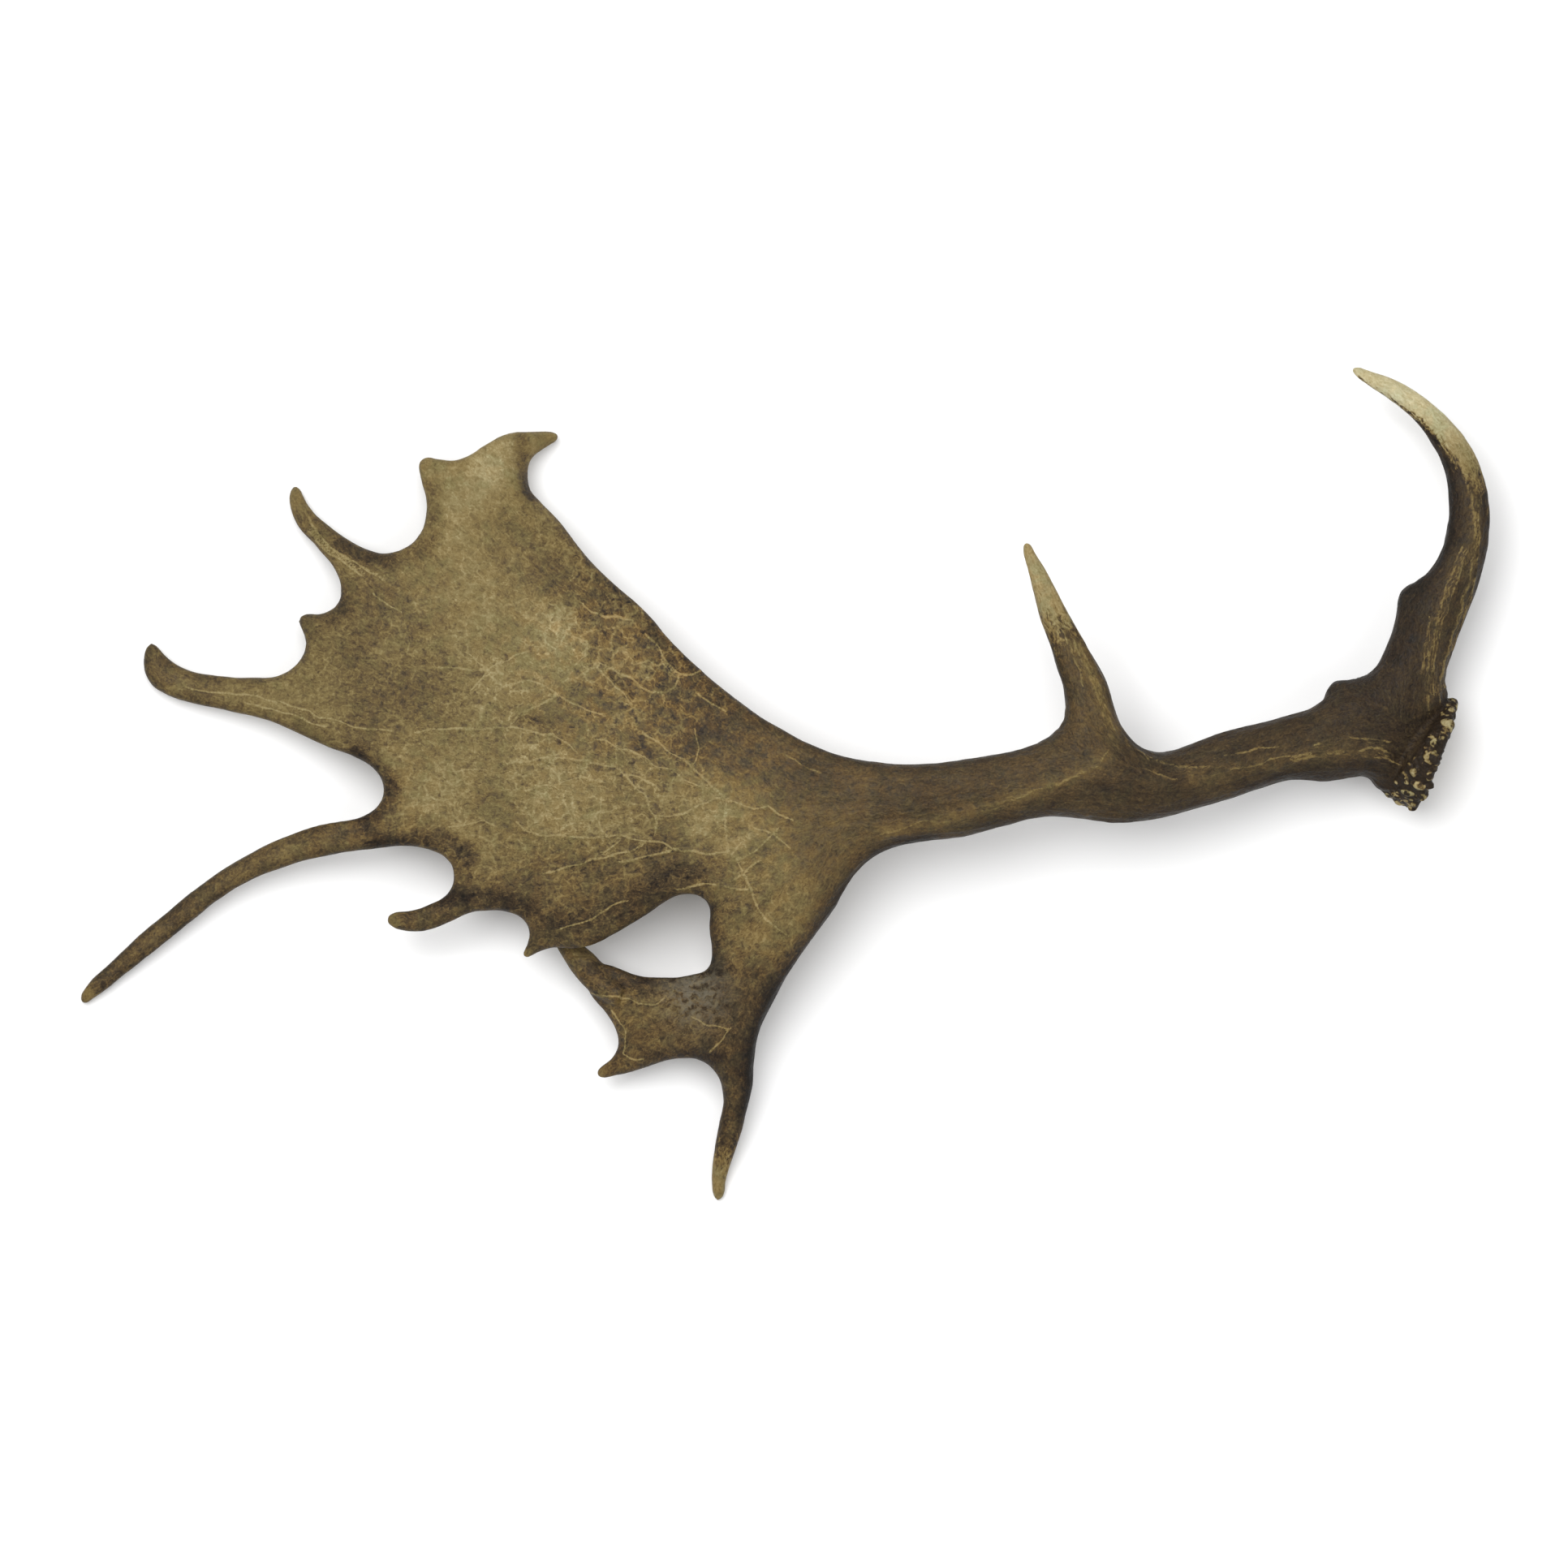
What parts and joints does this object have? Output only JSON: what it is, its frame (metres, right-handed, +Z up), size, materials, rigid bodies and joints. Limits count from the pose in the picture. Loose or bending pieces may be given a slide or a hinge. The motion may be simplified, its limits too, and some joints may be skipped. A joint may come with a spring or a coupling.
{
  "type": "fallow deer antler shed",
  "caption": "Palmate shed antler with a pearled coronet, curved brow tine, straight trez tine, broad flat palm edged with points, and a forked rear branch.",
  "frame": {"origin": "middle of the bounding box in plan, on the surface that the antler lies on", "axes": "+X from the palm's points towards the coronet, along the antler; +Y towards the brow tine's tip, across it; +Z up, away from the surface, with the antler lying on its hollow side"},
  "size_m": [0.6209, 0.3672, 0.0794],
  "materials": {
    "beam": "dark brown antler bone, satin",
    "brow_tine": "dark brown antler bone with a cream polished tip, satin",
    "trez_tine": "brown antler bone with a cream polished tip, satin",
    "palm": "olive brown antler bone with pale veins, satin",
    "rear_branch": "olive brown antler bone, satin"
  },
  "bodies": {
    "root": {"beam": "beam", "brow_tine": "brow_tine", "trez_tine": "trez_tine", "palm": "palm", "rear_branch": "rear_branch"}
  },
  "joints": []
}
